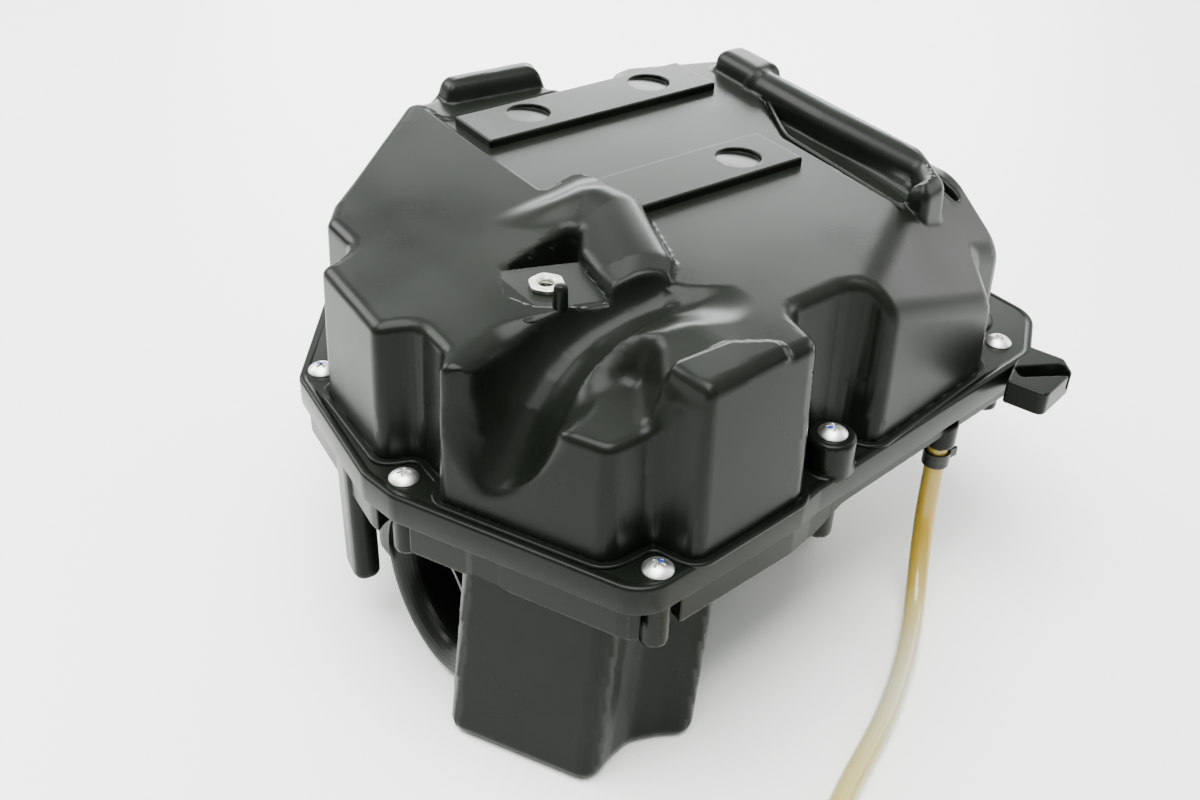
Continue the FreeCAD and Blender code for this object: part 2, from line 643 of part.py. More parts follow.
# ---- assembly -------------------------------------------------------------------------------------------------
def make_parts():
    parts = {
        "upper_cover": make_upper_cover(),
        "bracket_nut": make_bracket_nut(),
        "locating_pin": make_locating_pin(),
        "cover_screws": make_cover_screws(),
        "cover_gasket": make_cover_gasket(),
        "case_inserts": make_case_inserts(),
        "lower_case": make_lower_case(),
        "intake_duct": make_intake_duct(),
        "filter_seal": make_filter_seal(),
        "filter_frame": make_filter_frame(),
        "filter_media": make_filter_media(),
        "filter_screen": make_filter_screen(),
        "mount_grommet": make_mount_grommet(),
        "mount_collar": make_mount_collar(),
        "drain_hose": make_drain_hose(),
        "drain_plug": make_drain_plug(),
        "drain_clip": make_hose_clip(),
        "funnel_screws": make_funnel_screws(),
    }
    for side in OUTLETS:
        parts["outlet_funnel_" + side] = make_outlet_funnel(side)
        parts["outlet_boot_" + side] = make_outlet_boot(side)
        parts["boot_clamp_" + side] = make_boot_clamp(side)
        parts["clamp_screw_" + side] = make_clamp_screw(side)
    return parts


def underside_middle(shapes):
    """The middle of the underside of the box round the shapes."""
    bounds = FreeCAD.BoundBox()
    for shape in shapes:
        for point in shape.tessellate(0.05)[0]:
            bounds.add(point)
    return V(bounds.Center.x, bounds.Center.y, bounds.ZMin)


CORD_NODES = ("drain_hose", "drain_plug")


def main():
    os.makedirs("parts", exist_ok=True)
    parts = make_parts()
    origin = underside_middle([parts[n] for n in parts if n not in CORD_NODES])
    print("origin", [round(value, 4) for value in origin])
    for name, shape in parts.items():
        print(name, shape.isValid(), len(shape.Solids), round(shape.Volume))
        shape.translate(origin * -1)
        shape.exportStep("parts/" + name + ".step")


if __name__ == "__main__":
    main()
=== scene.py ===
import json
import math

import bpy
import numpy as np
import openvdb
from mathutils import Matrix, Vector

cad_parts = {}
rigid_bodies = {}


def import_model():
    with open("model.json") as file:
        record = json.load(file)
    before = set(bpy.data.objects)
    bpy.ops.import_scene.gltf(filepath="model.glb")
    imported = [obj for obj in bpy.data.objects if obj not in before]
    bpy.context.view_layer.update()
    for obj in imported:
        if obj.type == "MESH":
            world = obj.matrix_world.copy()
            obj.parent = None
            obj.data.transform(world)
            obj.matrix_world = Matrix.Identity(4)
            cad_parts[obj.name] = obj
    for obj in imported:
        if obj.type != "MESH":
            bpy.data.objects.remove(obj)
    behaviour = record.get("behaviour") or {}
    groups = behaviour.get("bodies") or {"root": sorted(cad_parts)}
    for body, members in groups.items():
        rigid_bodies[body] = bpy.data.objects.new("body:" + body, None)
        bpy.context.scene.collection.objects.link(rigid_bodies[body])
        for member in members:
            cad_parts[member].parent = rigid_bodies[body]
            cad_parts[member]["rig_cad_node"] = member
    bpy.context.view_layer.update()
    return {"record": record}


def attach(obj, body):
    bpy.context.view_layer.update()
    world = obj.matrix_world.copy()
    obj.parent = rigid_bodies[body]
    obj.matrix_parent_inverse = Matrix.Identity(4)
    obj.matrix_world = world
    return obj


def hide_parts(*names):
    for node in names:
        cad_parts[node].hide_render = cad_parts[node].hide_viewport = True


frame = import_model()

# The design frame, in millimetres: z = 0 on top of the cover's flange and x = y = 0 at the
# front screw.  The bracket's thread is at THREAD_MM in it, which ties it to the row's frame.
THREAD_MM = Vector((12.0, 81.0, 55.5))
MOUNTS = {m["name"]: m for m in frame["record"]["mounts"]}
ORIGIN = Vector(MOUNTS["bracket_thread"]["pos_m"]) - THREAD_MM / 1000


def at(x, y, z):
    return ORIGIN + Vector((x, y, z)) / 1000


# ---- camera, floor, light ----------------------------------------------------------------
CAMERA_MM = (-201.05, -237.04, 283.42)
CAMERA_RIGHT = Vector((0.81451, -0.57937, 0.03002))
CAMERA_UP = Vector((0.31579, 0.48617, 0.81481))
CAMERA_LENS = 40.5


def make_camera():
    data = bpy.data.cameras.new("camera")
    data.sensor_width = 36.0
    data.lens = CAMERA_LENS
    data.clip_start = 0.01
    camera = bpy.data.objects.new("camera", data)
    bpy.context.scene.collection.objects.link(camera)
    right = CAMERA_RIGHT.normalized()
    up = (CAMERA_UP - right * CAMERA_UP.dot(right)).normalized()
    back = right.cross(up)
    turn = Matrix((right, up, back)).transposed()
    camera.matrix_world = Matrix.Translation(at(*CAMERA_MM)) @ turn.to_4x4()
    bpy.context.scene.camera = camera


def area_light(name, place, aim, size, power, colour=(1, 1, 1)):
    data = bpy.data.lights.new(name, "AREA")
    data.shape = "RECTANGLE"
    data.size, data.size_y = size
    data.energy = power
    data.color = colour
    light = bpy.data.objects.new(name, data)
    bpy.context.scene.collection.objects.link(light)
    light.location = Vector(place)
    light.rotation_euler = (Vector(aim) - Vector(place)).to_track_quat("-Z", "Y").to_euler()
    return light


def make_light():
    """A sky that is brightest at the back right, a softbox, and low windows for the edges."""
    world = bpy.data.worlds.new("world")
    bpy.context.scene.world = world
    world.use_nodes = True
    ground = world.node_tree.nodes["Background"]
    ground.inputs["Color"].default_value = (0.93, 0.96, 0.93, 1)
    place = world.node_tree.nodes.new("ShaderNodeTexCoord")
    facing = world.node_tree.nodes.new("ShaderNodeVectorMath")
    facing.operation = "DOT_PRODUCT"
    facing.inputs[1].default_value = (0.32, 0.52, 0.79)
    world.node_tree.links.new(place.outputs["Generated"], facing.inputs[0])
    fade = world.node_tree.nodes.new("ShaderNodeMapRange")
    for name, value in (("From Min", -0.45), ("From Max", 0.95), ("To Min", 0.3),
                        ("To Max", 1.7)):
        fade.inputs[name].default_value = value
    world.node_tree.links.new(facing.outputs["Value"], fade.inputs["Value"])
    world.node_tree.links.new(fade.outputs["Result"], ground.inputs["Strength"])
    area_light("softbox_above", (-0.25, -0.05, 1.75), (0, 0, 0), (1.5, 1.5), 105, (0.97, 1, 0.965))
    area_light("window_behind", (1.05, 1.35, 0.6), (0, 0, 0.1), (1.4, 0.5), 34, (0.95, 1, 0.97))
    area_light("window_left", (-0.6, 1.15, 1.0), (0, 0, 0.1), (0.8, 0.8), 26)
    area_light("window_right", (1.5, -0.27, 0.6), (0, 0, 0.1), (0.9, 0.7), 9)


def make_floor():
    bpy.ops.mesh.primitive_plane_add(size=8, location=(0, 0, 0))
    floor = bpy.context.object
    floor.name = "floor"
    material = bpy.data.materials.new("floor_paint")
    material.use_nodes = True
    shader = material.node_tree.nodes["Principled BSDF"]
    shader.inputs["Base Color"].default_value = (0.93, 0.95, 0.915, 1)
    shader.inputs["Roughness"].default_value = 0.38
    floor.data.materials.append(material)


make_camera()
make_light()
make_floor()


# ---- materials ----------------------------------------------------------------------------
def material_nodes(name):
    """A new material, its node tree and its shader."""
    material = bpy.data.materials.new(name)
    material.use_nodes = True
    tree = material.node_tree
    return material, tree, tree.nodes["Principled BSDF"]


def noise_node(tree, scale, detail, kind="Object"):
    place = tree.nodes.new("ShaderNodeTexCoord")
    noise = tree.nodes.new("ShaderNodeTexNoise")
    noise.inputs["Scale"].default_value = scale
    noise.inputs["Detail"].default_value = detail
    tree.links.new(place.outputs[kind], noise.inputs["Vector"])
    return noise


def ramp_node(tree, source, stops):
    ramp = tree.nodes.new("ShaderNodeValToRGB")
    first, last = stops[0], stops[-1]
    ramp.color_ramp.elements[0].position = first[0]
    ramp.color_ramp.elements[0].color = first[1]
    ramp.color_ramp.elements[1].position = last[0]
    ramp.color_ramp.elements[1].color = last[1]
    for position, colour in stops[1:-1]:
        ramp.color_ramp.elements.new(position).color = colour
    tree.links.new(source, ramp.inputs["Fac"])
    return ramp


def range_node(tree, source, low, high):
    spread = tree.nodes.new("ShaderNodeMapRange")
    spread.inputs["From Min"].default_value = 0.3
    spread.inputs["From Max"].default_value = 0.7
    spread.inputs["To Min"].default_value = low
    spread.inputs["To Max"].default_value = high
    tree.links.new(source, spread.inputs["Value"])
    return spread


def bump_node(tree, source, strength, distance, shader):
    bump = tree.nodes.new("ShaderNodeBump")
    bump.inputs["Strength"].default_value = strength
    bump.inputs["Distance"].default_value = distance
    tree.links.new(source, bump.inputs["Height"])
    tree.links.new(bump.outputs["Normal"], shader.inputs["Normal"])
    return bump


def surface(name, dark, light, rough, metal=0.0, cloud=60, grain=2500, depth=0.00004,
            strength=0.25, spread=0.06):
    """Clouded colour and roughness over a fine grain."""
    material, tree, shader = material_nodes(name)
    clouds = noise_node(tree, cloud, 4)
    ramp = ramp_node(tree, clouds.outputs["Fac"], [(0.35, dark), (0.7, light)])
    tree.links.new(ramp.outputs["Color"], shader.inputs["Base Color"])
    rubbed = range_node(tree, clouds.outputs["Fac"], rough - spread, rough + spread)
    tree.links.new(rubbed.outputs["Result"], shader.inputs["Roughness"])
    fine = noise_node(tree, grain, 2)
    bump_node(tree, fine.outputs["Fac"], strength, depth, shader)
    shader.inputs["Metallic"].default_value = metal
    return material, tree, shader


def make_materials():
    plastic, _, shader = surface("black_plastic", (0.0036, 0.0046, 0.0033, 1),
                                 (0.0058, 0.0070, 0.0051, 1), 0.31, cloud=22)
    shader.inputs["Specular IOR Level"].default_value = 0.11
    return {
        "black_plastic": plastic,
        "black_rubber": surface("black_rubber", (0.010, 0.010, 0.011, 1),
                                (0.018, 0.018, 0.018, 1), 0.62, cloud=90)[0],
        "zinc_steel": surface("zinc_steel", (0.62, 0.62, 0.60, 1), (0.82, 0.82, 0.80, 1),
                              0.40, 1.0, cloud=350, grain=5000, strength=0.12)[0],
        "zinc_nut": surface("zinc_nut", (0.50, 0.52, 0.44, 1), (0.80, 0.80, 0.72, 1),
                            0.34, 1.0, cloud=500, grain=4000, strength=0.3)[0],
        "dark_steel": surface("dark_steel", (0.012, 0.012, 0.012, 1), (0.03, 0.03, 0.028, 1),
                              0.45, 0.6, cloud=300, grain=3000)[0],
        "brass": surface("brass", (0.50, 0.34, 0.13, 1), (0.68, 0.50, 0.22, 1),
                         0.3, 1.0, cloud=300)[0],
        "paper": surface("filter_paper", (0.62, 0.52, 0.34, 1), (0.74, 0.65, 0.46, 1), 0.85,
                         cloud=120, grain=1500, depth=0.0001, strength=0.5)[0],
        "wire_mesh": surface("wire_mesh", (0.42, 0.42, 0.42, 1), (0.62, 0.62, 0.61, 1),
                             0.35, 1.0, cloud=200)[0],
        "foam": surface("foam", (0.04, 0.04, 0.045, 1), (0.08, 0.08, 0.085, 1),
                        0.9, cloud=200, grain=1800, depth=0.0004, strength=0.8)[0],
        "paint_mark": surface("paint_mark", (0.01, 0.02, 0.22, 1), (0.02, 0.05, 0.36, 1),
                              0.4, cloud=900)[0],
        "hose": make_hose_material(),
    }


def make_hose_material():
    """Clear tube that has yellowed, orange at its ends and milky between."""
    material, tree, shader = material_nodes("hose_tube")
    place = tree.nodes.new("ShaderNodeTexCoord")
    split = tree.nodes.new("ShaderNodeSeparateXYZ")
    tree.links.new(place.outputs["Object"], split.inputs["Vector"])
    low, high = (ORIGIN.y - 0.066), (ORIGIN.y + 0.02)
    along = tree.nodes.new("ShaderNodeMapRange")
    along.inputs["From Min"].default_value = low
    along.inputs["From Max"].default_value = high
    tree.links.new(split.outputs["Y"], along.inputs["Value"])
    stain = noise_node(tree, 45, 5)
    mix = tree.nodes.new("ShaderNodeMath")
    mix.operation = "MULTIPLY_ADD"
    mix.inputs[1].default_value = 0.22
    tree.links.new(stain.outputs["Fac"], mix.inputs[0])
    tree.links.new(along.outputs["Result"], mix.inputs[2])
    orange, straw, milky = (0.44, 0.29, 0.03, 1), (0.46, 0.38, 0.12, 1), (0.50, 0.48, 0.33, 1)
    ramp = ramp_node(tree, mix.outputs["Value"], [(0.12, orange), (0.24, straw), (0.55, milky),
                                                  (0.88, straw), (1.0, orange)])
    tree.links.new(ramp.outputs["Color"], shader.inputs["Base Color"])
    shader.inputs["Roughness"].default_value = 0.22
    shader.inputs["Subsurface Weight"].default_value = 0.35
    shader.inputs["Subsurface Scale"].default_value = 0.003
    shader.inputs["Transmission Weight"].default_value = 0.18
    shader.inputs["Coat Weight"].default_value = 0.3
    fine = noise_node(tree, 160, 3)
    bump_node(tree, fine.outputs["Fac"], 0.12, 0.0005, shader)
    return material


MATERIALS = make_materials()


def paint(obj, *names):
    """Gives the object these materials, in its own slots."""
    obj.data.materials.clear()
    for name in names:
        obj.data.materials.append(MATERIALS[name])


# ---- moulded shells from distance fields ------------------------------------------------------
# A field is a function of x, y, z that is negative inside, in design millimetres, or in
# millimetres from its own foot for the screw's head and the nut.  An outline is a run of
# (x, y, corner radius), and goes anticlockwise where swept_ring follows it.
WALL = 2.6              # thickness of the mouldings
LIP = 6.0               # of the cover's flange, below its top
RIM_BOTTOM = -11.0      # of the rolled rim outside it
RIM_LIP = 1.0
CASE_TOP = -6.3
BAND_BOTTOM = -18.0
SKIRT_BOTTOM = -24.5
SKIRT_IN = 2.4          # how far the skirt stands in from the flange
FLOOR = -90.0           # the table
DECK = 62.0             # the cover's flat top
HUMP_TOP = 71.0
DRAFT = 0.035           # of the cover's walls
SHELL_STEP = 1.68       # grid of the two large shells

SCREWS = [(0, 0), (-43.6, 82.3), (-38, 155), (81, 10), (191, 30),
          (210.3, 112), (193, 203), (120, 230.6), (8, 214)]
HIGH_SCREW = 3
HIGH_BOSS_TOP = 13.0
HIGH_BOSS_R = 8.5
BOSS_R = 5.0
BOSS_BOTTOM = -30.0
NUT_AT = (12.0, 81.0)
PIN_AT = (8.0, 67.0)
POCKET_FLOOR = 57.0

FLANGE = [(-10.8, -8, 15), (60, -1.3, 10), (70, 1.2, 10), (196, 17.5, 14), (220, 36, 16),
          (217, 180, 25), (188, 226, 25), (110, 240, 30), (14, 240, 14), (-47.5, 155.5, 10),
          (-54.5, 92, 14), (-52, 76.5, 14)]
WALLS = [(-13, 9.5, 8), (5.5, 10, 6), (11, -5.3, 6), (62.5, 0.3, 8), (66, 20, 7), (96, 21, 9),
         (100.5, 7.8, 7), (170, 20, 8), (180, 39, 7), (203, 43, 10), (203, 176, 20),
         (178, 210, 20), (104, 224, 14), (41.5, 229, 6), (-19, 178, 6), (-27.5, 167, 6),
         (-28, 146, 7), (-43, 141, 6), (-46.2, 94, 5), (-33.5, 89, 6), (-34, 73, 6),
         (-40.5, 65, 5)]
DECK_EDGE = [(-90, -40, 1), (200, -40, 1), (181, 70, 6), (181, 158, 3), (188, 160, 4),
             (188, 196, 6), (180, 200, 6), (160, 207, 6),
             (140, 214, 6), (132, 212, 6), (120, 203, 6), (105, 203, 5), (98, 210, 4),
             (98, 232, 4), (50, 232, 3), (46, 219, 3), (39, 233, 2), (-90, 233, 1)]
HOOD = [(-90, 66, 4), (-60, 45, 4), (30, 40, 10), (50, 62, 12), (65, 100, 14), (60, 132, 8),
        (41, 128, 3), (43, 270, 3), (-90, 270, 4)]
# the channel's low line: x, y, z and its radius on the right and on the left
VALLEY = [(-60, 46, -15, 18, 12), (-33, 46, 9, 18, 12), (-22, 49, 20.5, 18, 12),
          (-12, 52, 30, 17.5, 12.5), (-2, 54, 38.5, 16.5, 12), (10, 55, 46, 15, 10),
          (21, 54, 51, 14, 8.5), (31, 50, 55, 13, 8.5), (39, 44.5, 58.8, 12, 9.5),
          (46, 37.5, 62.8, 10.5, 10)]
SHELF = [(-70, 8, 4), (-6, -30, 4), (4, -30, 3), (4.5, 16, 4), (19, 38, 5), (-40, 41, 4)]
SHELF_TOP = 44.0
HOOD_ROLL = 13.0
HOOD_SWELL = 3.8
BLOCK = [(8, -12, 2), (48, -12, 4), (50, 9, 5), (42, 14, 5), (35, 18, 4), (8, 18, 2)]
BLOCK_TOP = 64.0
POCKET = [(-2, 84, 5), (3, 72, 4), (9, 67, 3), (20.5, 60, 3), (24.5, 62.5, 3), (30.5, 89, 4),
          (41, 104, 3), (5.5, 98, 3)]
WELL_FLOOR = 46.0
PLATE = [(-5, 101, 1), (-5, 68, 3), (6, 57, 3), (21, 52, 3), (27, 56, 2), (30.2, 88.6, 1.5),
         (5.4, 97.4, 1.5)]
PADS = [[(46, 171, 1), (157, 171, 1), (157, 198, 1), (46, 198, 1)],
        [(52, 97, 1), (139, 97, 1), (139, 124, 1), (52, 124, 1)]]
PAD_RISE = 3.0
PAD_DISHES = [(73, 186), (133, 186), (118, 110)]
DISH_R = 8.5
REAR_HUMP = [(51, 212, 4), (96, 207.5, 4), (103, 232, 5), (53, 233, 5)]
REAR_STEP = [(44, 202, 3), (100, 202, 3), (102, 235, 3), (40, 235, 3)]
CORNER_HUMP = [(168, 158, 5), (186, 160, 5), (187, 190, 6), (170, 190, 5)]
RIDGE = [(150, 45, 6), (166, 49, 8), (179, 72, 12), (182, 166, 3), (168, 166, 3),
         (165.5, 118, 8), (165.5, 66, 5), (159, 57, 4), (150, 55, 3)]
RIDGE_TOP = 70.0
BEAD = [(146, 51, 61.4), (147.5, 72, 61.7), (149.5, 96, 61.7), (151, 116, 61.7),
        (152, 121, 61.7), (158, 132, 61.7), (170.5, 153.5, 61.6)]
BEAD_R = 0.9
LANE = [(149.5, 56, 3), (161, 58, 4), (168, 118, 6), (176, 154, 2), (171, 155, 2),
        (152, 119, 2)]
OUTER_TOP = 52.5
SLIT = [(186.5, 60, 1.5), (191.5, 63, 1.5), (191.5, 150, 2), (186.5, 150, 2)]
CORNER_PILLOW = [(184, 44, 5), (204, 46, 6), (203, 66, 6), (186, 62, 5)]
RIGHT_SLOPE = [(113, 27, 61), (170, 20, 29), (200, 75, 54)]
TAB = [(173, 10, 1), (178, -5, 3), (199, 0, 3), (204, 8, 3), (199, 24, 1)]
TAB_SLOTS = [[(179.5, 9, 2), (183, 15, 2), (200.5, 6, 1.5), (197, -1, 1.5)]]
FRONT_BOX = [(-22.5, 0.5, 13), (-11, 5.5, 10), (-1, 8, 8), (9, 4.5, 8), (21, -2.5, 7), (30, 20, 8),
             (22, 56, 8), (-52, 54, 6)]
DIRTY_SIDE = [(-28, 50, 8), (60, 46, 10), (62, 166, 12), (-12, 166, 10), (-28, 140, 10)]
PAN = [(-4, 12, 8), (28, 12, 6), (62, 34, 10), (180, 48, 16), (204, 66, 16), (203, 174, 20),
       (175, 217, 20), (106, 228, 14), (20, 228, 14), (-18, 178, 8), (-18, 60, 8)]
LEG = [(-52, 110, 4), (-42, 109, 4), (-38, 126, 4), (-49, 126, 4)]
OUTLETS = {"left": (124.0, 84.0), "right": (124.0, 168.0)}
OUTLET_R = 22.0
OUTLET_BORE = 18.5
INTAKE = (-37.0, 81.0, -55.0)
INTAKE_HOLE_R = 24.0
FILTER_MID = (17.0, 105.0)
FILTER_SIZE = (78.0, 100.0)
TRAY_TOP = -13.0
PAN_FLOOR = -40.0
DIRTY_FLOOR = -84.0
EAR_AT = (150.0, 247.0)
EAR_HOLE_R = 9.2
SPIGOT_AT = (150.6, 17.7)
SPIGOT_R = 6.0


def rounded(corners, steps=4):
    """The outline's corner arcs as one closed run of points."""
    points = []
    count = len(corners)
    for i in range(count):
        before, here, after = corners[i - 1], corners[i], corners[(i + 1) % count]
        back = Vector((before[0] - here[0], before[1] - here[1]))
        on = Vector((after[0] - here[0], after[1] - here[1]))
        spread = back.angle(on) / 2
        reach = min(here[2] / math.tan(spread), 0.49 * back.length, 0.49 * on.length)
        radius = reach * math.tan(spread)
        mid = (back.normalized() + on.normalized()).normalized()
        centre = Vector(here[:2]) + mid * (radius / math.sin(spread))
        start = Vector(here[:2]) + back.normalized() * reach - centre
        turn = math.copysign(math.pi - 2 * spread, back.x * on.y - back.y * on.x) * -1
        for k in range(steps + 1):
            angle = turn * k / steps
            c, s = math.cos(angle), math.sin(angle)
            points.append((centre.x + c * start.x - s * start.y,
                           centre.y + s * start.x + c * start.y))
    return np.array(points)


OUTLINES = {}


def flat(corners, x, y):
    """Signed distance in plan to a rounded outline."""
    key = tuple(corners)
    if key not in OUTLINES:
        OUTLINES[key] = rounded(corners)
    points = OUTLINES[key].astype(x.dtype)
    nearest = None
    inside = None
    for (ax, ay), (bx, by) in zip(points, np.roll(points, -1, 0)):
        ex, ey = bx - ax, by - ay
        wx, wy = x - ax, y - ay
        share = np.clip((wx * ex + wy * ey) / max(ex * ex + ey * ey, 1e-9), 0, 1)
        apart = (wx - ex * share) ** 2 + (wy - ey * share) ** 2
        above, below, left = wy >= 0, y < by, ex * wy > ey * wx
        crossing = (above & below & left) | ~(above | below | left)
        nearest = apart if nearest is None else np.minimum(nearest, apart)
        inside = crossing if inside is None else inside ^ crossing
    return np.where(inside, -1, 1) * np.sqrt(nearest)


def fillet(a, b, r):
    """Union with a fillet of radius r."""
    return np.maximum(r, np.minimum(a, b)) - np.hypot(np.maximum(r - a, 0),
                                                      np.maximum(r - b, 0))


def crown(a, b, r):
    """Intersection with a rounded edge of radius r."""
    return -fillet(-a, -b, r)


def carve(a, b, r):
    """a with b taken out of it, and the edge rounded."""
    return crown(a, -b, r)


def ease(value, low, high):
    t = np.clip((value - low) / (high - low), 0, 1)
    return t * t * (3 - 2 * t)


def plane(points, x, y, z):
    a, b, c = (Vector(p) for p in points)
    n = (b - a).cross(c - a).normalized()
    return (x - a.x) * n.x + (y - a.y) * n.y + (z - a.z) * n.z


def slab(corners, low, high, x, y, z, edge=1.0, lean=0.0):
    """A rounded block between two heights; it leans in going up."""
    side = flat(corners, x, y) + (z - low) * lean
    return crown(side, np.maximum(z - high, low - z), edge)


def post(px, py, radius, low, high, x, y, z, edge=0.8):
    side = np.hypot(x - px, y - py) - radius
    return crown(side, np.maximum(z - high, low - z), edge)


def valley(x, y, z):
    """A channel along the low line, open to above, rounder on its right than its left."""
    spots = [Vector(p[:3]) for p in VALLEY]
    radii = [p[3] for p in VALLEY]
    marks = [p[0] for p in VALLEY]
    middle = np.interp(x, marks, [p[1] for p in VALLEY])
    squeeze = np.interp(x, marks, [p[3] / p[4] for p in VALLEY])
    pinch = 1 + (squeeze - 1) * ease(y - middle, 1.0, 8.0)
    y = (middle + (y - middle) * np.where(y > middle, squeeze, 1)).astype(y.dtype)
    centres = []
    for i, spot in enumerate(spots):
        ahead = spots[min(i + 1, len(spots) - 1)] - spots[max(i - 1, 0)]
        slope = ahead.z / math.hypot(ahead.x, ahead.y)
        centres.append(spot + Vector((0, 0, radii[i] * math.sqrt(1 + slope * slope))))
    best = None
    for i in range(len(spots) - 1):
        a, b = centres[i], centres[i + 1]
        d = b - a
        along = ((x - a.x) * d.x + (y - a.y) * d.y) / (d.x * d.x + d.y * d.y)
        low = np.minimum(z, a.z + along * d.z)
        share = np.clip(((x - a.x) * d.x + (y - a.y) * d.y + (low - a.z) * d.z)
                        / d.length_squared, 0, 1)
        gap = np.sqrt((x - a.x - d.x * share) ** 2 + (y - a.y - d.y * share) ** 2
                      + np.minimum(low - a.z - d.z * share, 0) ** 2)
        gap = gap - (radii[i] + (radii[i + 1] - radii[i]) * share)
        best = gap if best is None else np.minimum(best, gap)
    return best / np.maximum(pinch, 1)


FACET_X, FACET_Z, FACET_RISE = -44.0, 49.8, 0.16


def facet(x, z):
    """Height above the sloped panel, which rises to the right."""
    return (z - FACET_Z - FACET_RISE * (x - FACET_X)) / math.hypot(1, FACET_RISE)


def cover_outside(x, y, z):
    """The cover's outer skin, as a solid that goes on downwards."""
    wall = flat(WALLS, x, y) + z * DRAFT
    deck = z - DECK - 1.2 * ease(-flat(REAR_STEP, x, y), -1.0, 1.0)
    hood = flat(HOOD, x, y)
    flank = ease(y, 42.0, 56.0) * ease(-y, -127.0, -110.0)
    step = np.clip(FACET_RISE * (x - FACET_X) + FACET_Z - DECK, 0.3, 6) + HOOD_SWELL
    bend = np.clip(1 + hood / HOOD_ROLL, 0, 0.98)
    swell = HOOD_SWELL * ease(hood, -26.0, -10.0)
    roll = (step * (1 - np.sqrt(1 - bend * bend)) - swell) * flank
    top = crown(facet(x, z) + roll, fillet(deck, hood, 0.4 + 0.3 * flank), 0.4)
    top = crown(top, flat(DECK_EDGE, x, y) + (z - 40) * 0.1, 4.0)
    block = crown(flat(BLOCK, x, y) + (z - 30) * 0.04, z - BLOCK_TOP, 3.0)
    top = fillet(top, block, 1.0)
    hump = crown(flat(REAR_HUMP, x, y) + (z - DECK) * 0.35, z - HUMP_TOP, 4.0)
    top = fillet(top, hump, 1.0)
    slope = plane(RIGHT_SLOPE, x, y, z)
    top = fillet(top, z - OUTER_TOP, 3.0)
    top = crown(top, slope, 4.0)
    body = crown(wall, top, 4.5)
    body = carve(body, slab(LANE, 57.0, 120, x, y, z, 2.0, -0.5), 1.2)
    ridge = crown(flat(RIDGE, x, y) + (z - 60) * 0.08, z - RIDGE_TOP, 6.5)
    ridge = crown(ridge, wall, 4.0)
    body = fillet(body, ridge, 1.2)
    corner = crown(flat(CORNER_HUMP, x, y) + (z - DECK) * 0.1, z - HUMP_TOP, 5.0)
    body = fillet(body, crown(corner, wall, 4.0), 2.0)
    body = carve(body, slab(SLIT, 36, 140, x, y, z, 1.0), 1.5)
    pillow = slab(CORNER_PILLOW, -20, 28, x, y, z, 6.0, 0.06)
    body = fillet(body, pillow, 2.0)
    body = carve(body, slab(SHELF, SHELF_TOP, 140, x, y, z, 4.0, -0.35), 3.0)
    left = ease(-x, -4.0, 16.0) * ease(z, 12.0, 40.0) * ease(y, 44.0, 54.0)
    right = ease(-y, -50.0, -41.0) * ease(z, 20.0, 44.0)
    body = carve(body, valley(x, y, z), 1.8 + 8.0 * left + 6.0 * right)
    lip = 1.2 + 2.0 * ease(x, 22.0, 32.0)
    body = carve(body, slab(POCKET, POCKET_FLOOR - 0.4, 120, x, y, z, 0.8, -0.06), lip)
    deep = flat(POCKET, x, y) + 0.4 - (z - POCKET_FLOOR) * 0.06
    deep = np.maximum(np.maximum(deep, -1.0 - flat(PLATE, x, y)), WELL_FLOOR - z)
    return np.maximum(body, -deep)


def plate_field(x, y, z):
    """The shelf in the pocket that holds the nut; its front runs over into the channel."""
    plate = slab(PLATE, POCKET_FLOOR - 5, POCKET_FLOOR, x, y, z, 0.35)
    plate = np.maximum(plate, facet(x, z) + 0.15)
    plate = carve(plate, valley(x, y, z) - 0.06, 2.6)
    return np.maximum(plate, 3.4 - np.hypot(x - NUT_AT[0], y - NUT_AT[1]))


def cover_field(x, y, z):
    outside = cover_outside(x, y, z)
    shell = np.maximum(outside, -outside - WALL)
    shell = np.maximum(shell, -LIP - z)
    rim = flat(FLANGE, x, y) + 0.15
    wall = flat(WALLS, x, y)
    flange = crown(crown(rim, np.maximum(z, -LIP - z), 1.2), -wall - WALL, 0.4)
    body = np.minimum(shell, flange)
    sx, sy = SCREWS[HIGH_SCREW]
    boss = post(sx, sy, HIGH_BOSS_R, -3, HIGH_BOSS_TOP, x, y, z, 1.6)
    body = fillet(body, boss, 1.2)
    for sx, sy in SCREWS:
        body = carve(body, np.hypot(x - sx, y - sy) - 2.8 + 0 * z, 0.3)
    return body


